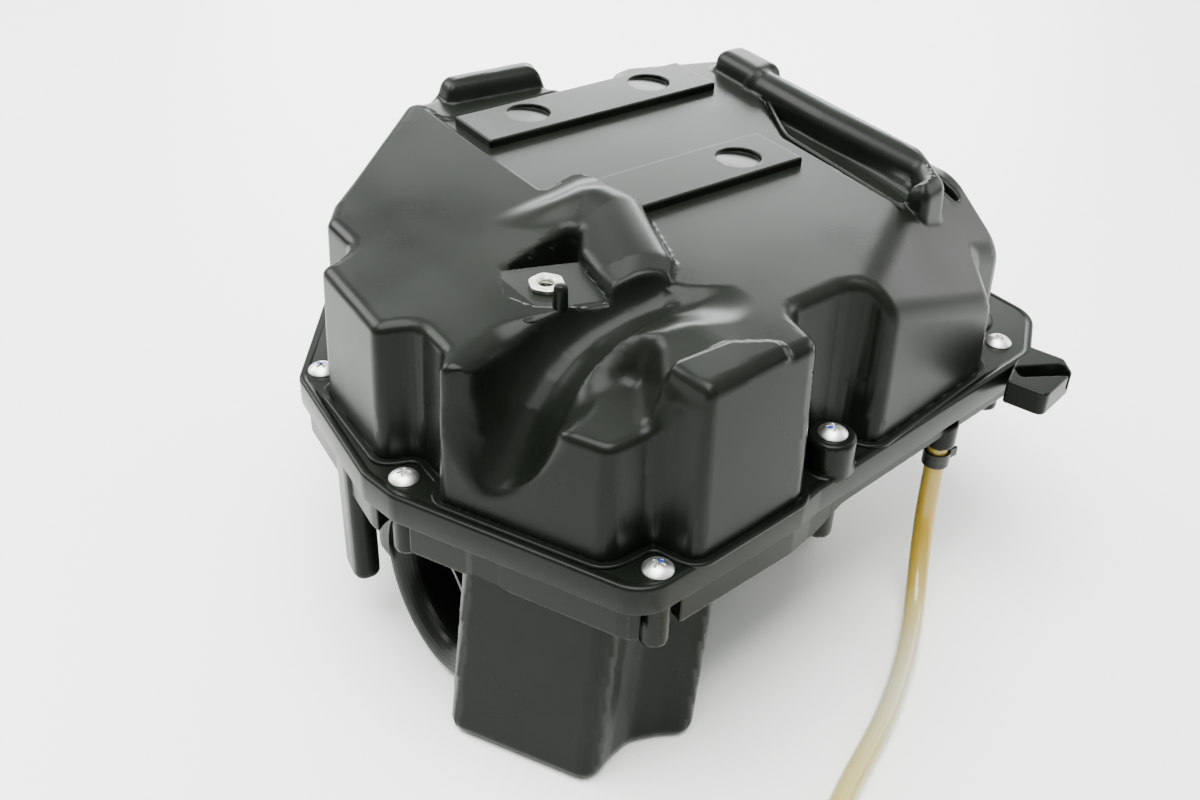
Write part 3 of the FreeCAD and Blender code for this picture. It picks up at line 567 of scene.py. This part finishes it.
def shape_from(field, low, high, step):
    """Mesh of the field's zero surface, with exact normals, in design millimetres."""
    counts = [int(math.ceil((h - l) / step)) + 1 for l, h in zip(low, high)]
    axes = [(l + step * np.arange(n)).astype(np.float32) for l, n in zip(low, counts)]
    x, y, z = axes[0][:, None, None], axes[1][None, :, None], axes[2][None, None, :]
    values = np.broadcast_to(field(x, y, z), counts).astype(np.float32)
    values = np.clip(values, -3 * step, 3 * step)
    grid = openvdb.FloatGrid(3.0 * step)
    grid.copyFromArray(np.ascontiguousarray(values))
    points, triangles, quads = grid.convertToPolygons(isovalue=0.0, adaptivity=0.0)
    points = points.astype(np.float64) * step + np.array(low)

    def slope(p):
        reach = 0.05
        corners = ((1, 1, 1), (1, -1, -1), (-1, 1, -1), (-1, -1, 1))
        total = np.zeros_like(p)
        level = np.zeros(len(p))
        for corner in corners:
            q = p + reach * np.array(corner)
            value = field(q[:, 0], q[:, 1], q[:, 2])
            total += value[:, None] * np.array(corner)
            level += value
        return total / (4 * reach), level / 4

    gradient, level = slope(points)
    length = np.maximum((gradient ** 2).sum(1), 0.2)
    shift = -level[:, None] * gradient / length[:, None]
    size = np.linalg.norm(shift, axis=1, keepdims=True)
    points += shift * np.minimum(1, 0.6 * step / np.maximum(size, 1e-9))
    gradient, level = slope(points)
    normals = gradient / np.maximum(np.linalg.norm(gradient, axis=1, keepdims=True), 1e-9)
    return points, normals, triangles, quads


def mesh_from(name, points, normals, triangles, quads):
    mesh = bpy.data.meshes.new(name)
    triangles, quads = np.asarray(triangles), np.asarray(quads)
    faces = []
    if len(triangles):
        faces.extend(triangles.tolist())
    if len(quads):
        faces.extend(quads.tolist())
    a, b, c = (points[np.array([f[k] for f in faces[:2000]])] for k in range(3))
    facing = np.cross(b - a, c - a)
    ahead = (facing * normals[np.array([f[0] for f in faces[:2000]])]).sum(1).mean()
    if ahead < 0:
        faces = [f[::-1] for f in faces]
    placed = points / 1000 + np.array(ORIGIN)
    mesh.from_pydata(placed.tolist(), [], faces)
    mesh.validate()
    mesh.shade_smooth()
    if len(mesh.vertices) == len(normals):
        mesh.normals_split_custom_set_from_vertices(normals.tolist())
    obj = bpy.data.objects.new(name, mesh)
    bpy.context.scene.collection.objects.link(obj)
    return obj


def moulded(name, field, low, high, step, body, node, material="black_plastic"):
    """A piece from a field that rides on a body and stands for a node of the CAD part."""
    obj = mesh_from(name, *shape_from(field, low, high, step))
    paint(obj, material)
    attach(obj, body)
    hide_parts(node)
    return obj


def pad_field(pad, dishes):
    def field(x, y, z):
        body = slab(pad, DECK - 2, DECK + PAD_RISE, x, y, z, 0.7)
        for px, py in dishes:
            tilt = DECK + PAD_RISE - 0.9 - 0.11 * (x - px) - 0.05 * (y - py)
            dish = crown(np.hypot(x - px, y - py) - DISH_R, tilt - z, 0.3)
            body = carve(body, dish, 0.35)
        return body
    return field


def tab_field(x, y, z):
    rim = flat(FLANGE, x, y)
    tab = slab(TAB, -10, 0, x, y, z, 0.9)
    tab = np.maximum(tab, np.minimum(0.3 - rim, -LIP - z))
    for slot in TAB_SLOTS:
        tab = carve(tab, slab(slot, -7, 20, x, y, z, 0.8), 0.6)
    return tab


def swept_ring(name, line, profile):
    """A closed band whose section is (outward, up) pairs, swept along a run of points."""
    count, width = len(line), len(profile)
    verts, faces = [], []
    for i in range(count):
        before, here, after = line[i - 1], line[i], line[(i + 1) % count]
        along = (Vector(after) - Vector(before)).normalized()
        outward = Vector((along.y, -along.x))
        for out, up in profile:
            spot = Vector(here) + outward * out
            verts.append(at(spot.x, spot.y, up))
    for i in range(count):
        j = (i + 1) % count
        for k in range(width):
            m = (k + 1) % width
            faces.append((i * width + k, i * width + m, j * width + m, j * width + k))
    mesh = bpy.data.meshes.new(name)
    mesh.from_pydata(verts, [], faces)
    mesh.shade_smooth()
    obj = bpy.data.objects.new(name, mesh)
    bpy.context.scene.collection.objects.link(obj)
    return obj


def make_rings():
    """The edges that run right round: the rib at the walls' foot and the cover's rim."""
    rib = [(-0.4, -0.4), (2.8, -0.4), (2.8, 0.6), (2.55, 1.0), (2.1, 1.15), (1.4, 1.05),
           (0.4, 0.9), (-0.4, 0.8)]
    rims = {"cover_rib_line": (WALLS, rib, "cover", "upper_cover"),
            "cover_rim": (FLANGE, edge_band(0.0, 0.06, RIM_BOTTOM, 1.3, RIM_LIP), "cover",
                          "upper_cover")}
    for name, (outline, profile, body, node) in rims.items():
        line = [tuple(p) for p in rounded(outline, 10)]
        obj = swept_ring(name, line, profile)
        paint(obj, "black_plastic")
        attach(obj, body)
        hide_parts(node)


def make_bead():
    """The fine raised line between the flat top and the lane beside the ridge."""
    data = bpy.data.curves.new("bead_line", "CURVE")
    data.dimensions = "3D"
    data.bevel_depth = BEAD_R / 1000
    data.bevel_resolution = 4
    data.resolution_u = 8
    data.use_fill_caps = True
    line = data.splines.new("NURBS")
    line.points.add(len(BEAD) - 1)
    for point, spot in zip(line.points, BEAD):
        point.co = (*at(*spot), 1)
    line.order_u = 3
    line.use_endpoint_u = True
    bead = bpy.data.objects.new("cover_bead", data)
    bpy.context.scene.collection.objects.link(bead)
    paint(bead, "black_plastic")
    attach(bead, "cover")
    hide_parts("upper_cover")


def edge_band(out, top, bottom, r, lip=3.2, steps=4):
    """Section of a rim's outer edge: (outward, up) pairs, rounded at both corners."""
    arc = [(math.sin(math.pi / 2 * k / steps), math.cos(math.pi / 2 * k / steps))
           for k in range(steps + 1)]
    upper = [(out - r + r * s, top - r + r * c) for s, c in arc]
    low = min(r, 0.5 * lip)
    lower = [(out - low + low * s, bottom + low - low * c) for s, c in reversed(arc)]
    inner = [(out - lip, bottom), (out - lip, -LIP), (out - 3.2, -LIP), (out - 3.2, top)]
    return inner + upper + lower


def make_cover():
    moulded("cover_moulding", cover_field, (-57, -11, -9), (223, 243, 74), SHELL_STEP,
            "cover", "upper_cover")
    moulded("cover_pad_rear", pad_field(PADS[0], PAD_DISHES[:2]), (44, 169, 59),
            (159, 200, 67), 0.7, "cover", "upper_cover")
    moulded("cover_pad_front", pad_field(PADS[1], PAD_DISHES[2:]), (50, 95, 59),
            (141, 126, 67), 0.7, "cover", "upper_cover")
    moulded("cover_tab", tab_field, (171, -7, -12), (207, 26, 2), 0.6, "cover", "upper_cover")
    moulded("cover_pocket_plate", plate_field, (-7, 52, 50), (32, 103, 58.5), 0.6, "cover",
            "upper_cover")
    make_rings()
    make_bead()


# ---- fastenings on the cover ------------------------------------------------------------------
HEAD_R = 5.5
HEAD_H = 2.8
DOME_R = (HEAD_R ** 2 + HEAD_H ** 2) / (2 * HEAD_H)
SHANK_R = 2.5
SHANK_END = -18.0
MARKED_SCREWS = (0, 2, 3)


def head_field(x, y, z):
    """Domed pan head with a tapered cross recess."""
    dome = np.sqrt(x * x + y * y + (z - HEAD_H + DOME_R) ** 2) - DOME_R
    head = crown(np.maximum(dome, -z), np.hypot(x, y) - HEAD_R + 0.15, 0.35)
    sink = 0.32 * (HEAD_H - z)
    cross = None
    for a, b in ((x, y), (y, x)):
        arm = np.maximum(np.abs(a) - 2.5 + 2.2 * sink, np.abs(b) - 0.62 + 0.5 * sink)
        cross = arm if cross is None else np.minimum(cross, arm)
    return carve(head, np.maximum(cross, 0.7 - z), 0.12)


def screw_mark_profile():
    """A thin dab of paint that follows the head's dome."""
    top, reach = DOME_R + 0.03, 0.14
    cap = [(top * math.sin(a), top * math.cos(a)) for a in
           (reach, 0.85 * reach, 0.6 * reach, 0.3 * reach, 0.0)]
    return [((DOME_R - 0.1) * math.sin(reach), (DOME_R - 0.1) * math.cos(reach))] + cap


def make_screws():
    head = mesh_from("screw_head", *shape_from(head_field, (-5.9, -5.9, -0.4), (5.9, 5.9, 3.2),
                                               0.22))
    head.data.transform(Matrix.Translation(-ORIGIN))
    for index, (sx, sy) in enumerate(SCREWS):
        seat = HIGH_BOSS_TOP if index == HIGH_SCREW else 0.0
        place = Matrix.Translation(at(sx, sy, seat + 0.02))
        turn = Matrix.Rotation(0.7 * index + 0.3, 4, "Z")
        copy = bpy.data.objects.new("screw_head_%d" % (index + 1), head.data.copy())
        bpy.context.scene.collection.objects.link(copy)
        copy.data.transform(place @ turn)
        profile = [(SHANK_R, seat + 0.4), (SHANK_R, SHANK_END + 1.2),
                   (SHANK_R - 0.9, SHANK_END), (0, SHANK_END)]
        shank = lathe("screw_shank_%d" % (index + 1), bent(profile, 0.3), (sx, sy, 0), (0, 0, 1))
        pieces = [copy, shank]
        for piece in pieces:
            paint(piece, "zinc_steel")
        if index in MARKED_SCREWS:
            centre = (sx, sy, seat + HEAD_H - DOME_R)
            lean = (0.16 * math.cos(index), 0.16 * math.sin(index) + 0.05, 1)
            mark = lathe("paint_mark_%d" % (index + 1), screw_mark_profile(), centre, lean)
            paint(mark, "paint_mark")
            pieces.append(mark)
        for piece in pieces:
            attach(piece, "screws")
            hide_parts("cover_screws")
    bpy.data.objects.remove(head)


NUT_ACROSS = 11.6
NUT_TOP = 1.6
THREAD_PITCH = 1.0


def nut_field(x, y, z):
    """Hexagonal insert with softened corners and a real thread in its bore."""
    angle = np.arctan2(y, x)
    apart = np.hypot(x, y)
    side = np.abs((angle - 0.17) % (math.pi / 3) - math.pi / 6)
    flats = apart * np.cos(side) - NUT_ACROSS / 2
    head = crown(crown(flats, apart - NUT_ACROSS / 2 - 0.35, 0.3),
                 np.maximum(z - NUT_TOP, -z), 0.4)
    stem = np.maximum(apart - 3.3, np.maximum(z, -6 - z))
    turn = (z / THREAD_PITCH - angle / (2 * math.pi)) % 1.0
    bore = apart - 2.5 - 0.5 * np.abs(turn - 0.5)
    mouth = apart - 3.2 + 0.9 * (NUT_TOP - z)
    return np.maximum(np.minimum(head, stem), -np.minimum(bore, mouth) * 0.8)


def make_nut_and_pin():
    nut = mesh_from("bracket_nut_insert", *shape_from(nut_field, (-6.4, -6.4, -6.4),
                                                      (6.4, 6.4, 2.0), 0.24))
    nut.data.transform(Matrix.Translation(at(*NUT_AT, POCKET_FLOOR) - ORIGIN))
    paint(nut, "zinc_nut")
    profile = [(1.9, -5), (1.9, 0), (2.6, 0.1), (2.35, 7.4), (1.7, 8.8), (0, 9.0)]
    pin = lathe("locating_peg", bent(profile, 0.6), (*PIN_AT, POCKET_FLOOR), (0, 0, 1))
    paint(pin, "black_plastic")
    for piece, node in ((nut, "bracket_nut"), (pin, "locating_pin")):
        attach(piece, "cover")
        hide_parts(node)


# ---- lower case -----------------------------------------------------------------------------
def tube_x(x, y, z, radius):
    return np.hypot(y - INTAKE[1], z - INTAKE[2]) - radius + 0 * x


BOX_LEAN = (0.15, 0.075)


def front_box(x, y, z):
    """The front chamber's outline, whose foot leans out from under the flange."""
    rise = z - FLOOR
    return flat(FRONT_BOX, x - BOX_LEAN[0] * rise, y - BOX_LEAN[1] * rise)


def skirt_field(x, y, z):
    """The wall under the flange, notched round two screws, and the collar of the front box."""
    wall = flat(FLANGE, x, y) + SKIRT_IN
    for index in (0, 1):
        sx, sy = SCREWS[index]
        wall = crown(wall, 8.0 + 1.5 * index - np.hypot(x - sx, y - sy), 1.0)
    collar = front_box(x, y, BAND_BOTTOM) - 1.0
    wall = np.minimum(wall, crown(collar, flat(FLANGE, x, y) + 1.2, 2.0))
    bottom = SKIRT_BOTTOM + (BAND_BOTTOM - SKIRT_BOTTOM) * ease(x, 70.0, 90.0)
    skin = crown(wall, np.maximum(bottom - z, z - CASE_TOP - 1), 0.8)
    return np.maximum(skin, -wall - 3.0)


def case_outside(x, y, z):
    rim = flat(FLANGE, x, y)
    band = crown(rim + SKIRT_IN, np.maximum(z - CASE_TOP, RIM_BOTTOM + 1 - z), 0.4)
    front = crown(front_box(x, y, z),
                  np.maximum(FLOOR - z, z + 10), 5.0)
    dirty = slab(DIRTY_SIDE, DIRTY_FLOOR, -10, x, y, z, 6.0)
    pan = crown(flat(PAN, x, y) - (z - PAN_FLOOR) * 0.14,
                np.maximum(PAN_FLOOR - z, z + 10), 6.0)
    body = fillet(fillet(front, dirty, 3.0), pan, 4.0)
    body = fillet(body, band, 0.8)
    for sx, sy in SCREWS:
        body = fillet(body, post(sx, sy, BOSS_R, BOSS_BOTTOM, CASE_TOP - 1, x, y, z, 1.0), 0.8)
    for ox, oy in OUTLETS.values():
        body = fillet(body, post(ox, oy, OUTLET_R, -56.0, -38.0, x, y, z, 1.0), 2.0)
    leg = slab(LEG, -66, -9, x, y, z, 3.0)
    body = fillet(body, leg, 1.5)
    ear = slab([(EAR_AT[0] - 15, EAR_AT[1] - 26, 2), (EAR_AT[0] + 15, EAR_AT[1] - 30, 2),
                (EAR_AT[0] + 13, EAR_AT[1] + 12, 9), (EAR_AT[0] - 13, EAR_AT[1] + 12, 9)],
               BAND_BOTTOM, BAND_BOTTOM + 7, x, y, z, 1.2)
    body = fillet(body, ear, 2.0)
    body = fillet(body, post(*SPIGOT_AT, SPIGOT_R, -24.8, -14, x, y, z, 1.0), 1.5)
    return body


def case_field(x, y, z):
    body = case_outside(x, y, z)
    mouth = np.maximum(flat(WALLS, x, y) + 4.0, TRAY_TOP - z)
    pan = np.maximum(flat(PAN, x, y) + WALL - (z - PAN_FLOOR) * 0.14, PAN_FLOOR + WALL - z)
    pan = np.maximum(pan, z - BAND_BOTTOM - 6)
    tray = np.minimum(flat(DIRTY_SIDE, x, y), flat(FRONT_BOX, x, y))
    clean = np.minimum(carve(pan, np.maximum(tray, z - TRAY_TOP), 1.0), mouth)
    roof = TRAY_TOP - 3.0
    dirty = np.maximum(flat(DIRTY_SIDE, x, y) + WALL,
                       np.maximum(z - roof, DIRTY_FLOOR + WALL - z))
    front = np.maximum(front_box(x, y, z) + WALL,
                       np.maximum(z - roof, FLOOR + WALL - z))
    fx, fy = FILTER_MID
    opening = np.maximum(np.abs(x - fx) - FILTER_SIZE[0] / 2 + 8,
                         np.abs(y - fy) - FILTER_SIZE[1] / 2 + 8)
    opening = np.maximum(opening, np.maximum(roof - 1 - z, z - TRAY_TOP - 1))
    body = carve(body, np.minimum(np.minimum(clean, opening), np.minimum(dirty, front)), 0.8)
    body = carve(body, np.maximum(tube_x(x, y, z, INTAKE_HOLE_R), x + 20), 0.8)
    for sx, sy in SCREWS:
        hole = np.maximum(np.hypot(x - sx, y - sy) - 2.9, -21.5 - z)
        body = carve(body, hole, 0.3)
    for ox, oy in OUTLETS.values():
        hole = np.maximum(np.hypot(x - ox, y - oy) - OUTLET_BORE, z + 30)
        body = carve(body, hole, 0.6)
    ear = np.hypot(x - EAR_AT[0], y - EAR_AT[1]) - EAR_HOLE_R + 0 * z
    return carve(body, ear, 0.5)


def make_case():
    moulded("case_skirt", skirt_field, (-54, -8, -26), (221, 241, -6), 0.85, "case",
            "lower_case")
    moulded("case_moulding", case_field, (-56, -9.5, -93), (223, 262, -4), SHELL_STEP,
            "case", "lower_case")



# ---- the drain hose --------------------------------------------------------------------------
HOSE_ROUTE = [(150.6, 17.7, -25), (150.2, 17.2, -46), (145, 12, -67), (134, 1, -82.5),
              (117, -13, -86), (97, -26.5, -86), (76, -38, -86), (54, -47.5, -86),
              (33, -58, -86), (16, -73, -86), (6, -92, -86)]
HOSE_R = 4.0


def make_hose():
    data = bpy.data.curves.new("hose_line", "CURVE")
    data.dimensions = "3D"
    data.bevel_depth = HOSE_R / 1000
    data.bevel_resolution = 8
    data.resolution_u = 10
    line = data.splines.new("NURBS")
    line.points.add(len(HOSE_ROUTE) - 1)
    for point, spot in zip(line.points, HOSE_ROUTE):
        point.co = (*at(*spot), 1)
    line.order_u = 3
    line.use_endpoint_u = True
    hose = bpy.data.objects.new("drain_hose_tube", data)
    bpy.context.scene.collection.objects.link(hose)
    paint(hose, "hose")
    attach(hose, "case")
    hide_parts("drain_hose")
    return hose


def lathe(name, profile, place, axis, steps=48):
    """A turned shape from (radius, height) pairs along an axis, in design millimetres."""
    turn = Vector(axis).to_track_quat("Z", "Y").to_matrix().to_4x4()
    verts, faces = [], []
    rings = []
    for radius, height in profile:
        if radius < 1e-6:
            rings.append([len(verts)])
            verts.append((0, 0, height / 1000))
            continue
        ring = []
        for k in range(steps):
            angle = 2 * math.pi * k / steps
            ring.append(len(verts))
            verts.append((radius * math.cos(angle) / 1000, radius * math.sin(angle) / 1000,
                          height / 1000))
        rings.append(ring)
    for low, high in zip(rings, rings[1:]):
        for k in range(steps):
            j = (k + 1) % steps
            if len(low) == 1 and len(high) == 1:
                continue
            if len(low) == 1:
                faces.append((low[0], high[j], high[k]))
            elif len(high) == 1:
                faces.append((low[k], low[j], high[0]))
            else:
                faces.append((low[k], low[j], high[j], high[k]))
    mesh = bpy.data.meshes.new(name)
    mesh.from_pydata(verts, [], faces)
    mesh.shade_smooth()
    obj = bpy.data.objects.new(name, mesh)
    bpy.context.scene.collection.objects.link(obj)
    obj.data.transform(Matrix.Translation(at(*place)) @ turn)
    return obj


def bent(profile, r=0.5, steps=3):
    """The profile with its corners rounded by up to r."""
    result = [profile[0]]
    for before, here, after in zip(profile, profile[1:], profile[2:]):
        p, q, s = Vector(before), Vector(here), Vector(after)
        back, on = p - q, s - q
        if back.length < 1e-6 or on.length < 1e-6 or back.angle(on) > 3.0:
            result.append(here)
            continue
        reach = min(r, 0.45 * back.length, 0.45 * on.length)
        start, end = q + back.normalized() * reach, q + on.normalized() * reach
        for k in range(steps + 1):
            t = k / steps
            spot = start * (1 - t) ** 2 + q * 2 * t * (1 - t) + end * t * t
            result.append((spot.x, spot.y))
    result.append(profile[-1])
    return result


def make_plug():
    end, before = Vector(HOSE_ROUTE[-1]), Vector(HOSE_ROUTE[-2])
    along = (end - before).normalized()
    profile = [(HOSE_R - 0.6, 0), (HOSE_R, 0.2), (HOSE_R, 2.4), (HOSE_R - 0.5, 2.8),
               (HOSE_R - 0.5, 3.6), (HOSE_R, 4.0), (HOSE_R, 11.4), (2.8, 14.4), (0, 14.4)]
    plug = lathe("drain_plug_cap", bent(profile, 0.5), end, along)
    paint(plug, "black_rubber")
    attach(plug, "case")
    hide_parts("drain_plug")
    return plug


make_cover()
make_screws()
make_nut_and_pin()
make_case()
hose = make_hose()
plug = make_plug()

# ---- carried-over CAD nodes ---------------------------------------------------------------------
CAD_MATERIALS = {
    "bracket_nut": "zinc_nut", "locating_pin": "black_plastic", "cover_screws": "zinc_steel",
    "cover_gasket": "black_rubber", "case_inserts": "brass", "lower_case": "black_plastic",
    "intake_duct": "black_plastic", "filter_seal": "foam", "filter_frame": "black_plastic",
    "filter_media": "paper", "filter_screen": "wire_mesh", "mount_grommet": "black_rubber",
    "mount_collar": "zinc_steel", "drain_clip": "dark_steel", "funnel_screws": "zinc_steel",
    "outlet_funnel_left": "black_plastic", "outlet_funnel_right": "black_plastic",
    "outlet_boot_left": "black_rubber", "outlet_boot_right": "black_rubber",
    "boot_clamp_left": "zinc_steel", "boot_clamp_right": "zinc_steel",
    "clamp_screw_left": "zinc_steel", "clamp_screw_right": "zinc_steel",
}


def dress_cad():
    for obj in bpy.context.scene.objects:
        node = obj.get("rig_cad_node")
        if node in CAD_MATERIALS and not obj.hide_render:
            paint(obj, CAD_MATERIALS[node])


dress_cad()
